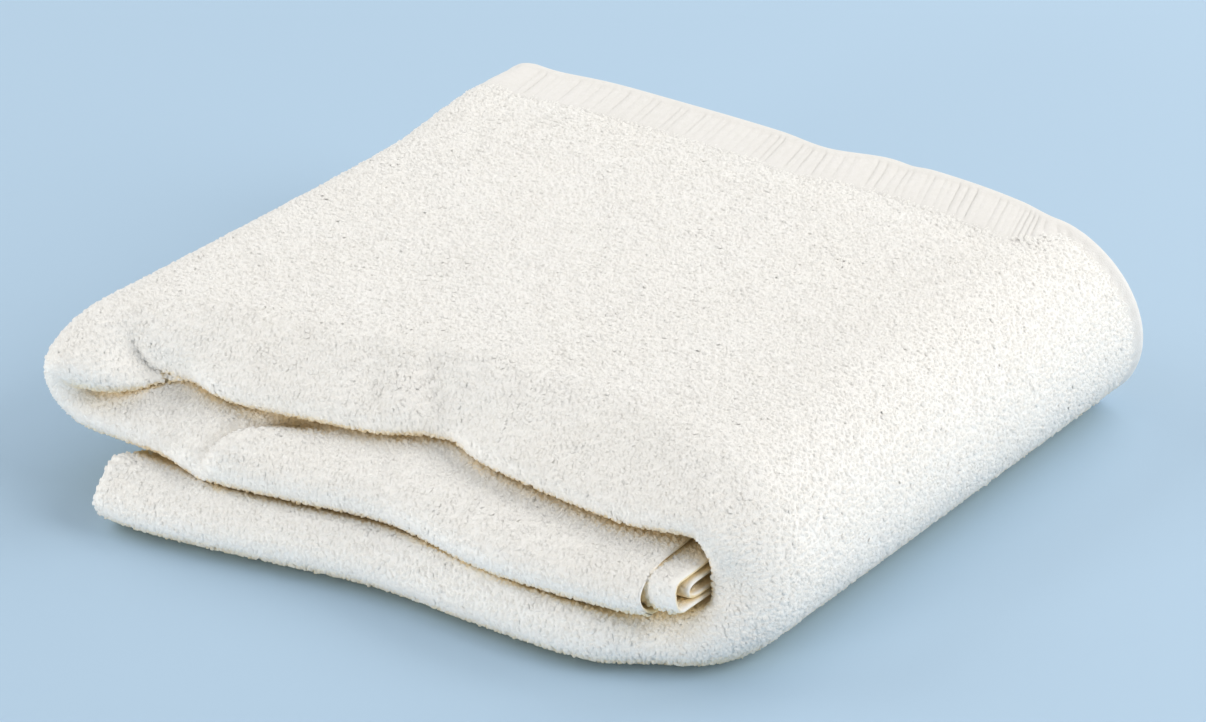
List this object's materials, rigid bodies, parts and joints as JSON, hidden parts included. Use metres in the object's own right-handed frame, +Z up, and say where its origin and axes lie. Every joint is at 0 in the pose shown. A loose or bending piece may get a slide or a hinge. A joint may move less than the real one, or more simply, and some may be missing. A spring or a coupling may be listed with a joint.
{
  "type": "folded bath towel",
  "caption": "Large cream terry bath towel folded into a flat parcel, resting on its underside, with its front folds, wrapped side and ribbed hem band showing.",
  "frame": {"origin": "on the resting surface, under the middle of the folded parcel's bounding box", "axes": "+X towards the rounded wrap at the right, +Y from the folded front edges towards the hems at the back, +Z up"},
  "size_m": [0.3773, 0.3954, 0.0831],
  "materials": {
    "terry": "matte cotton loop pile"
  },
  "bodies": {
    "root": {"towel": "terry"}
  },
  "joints": []
}
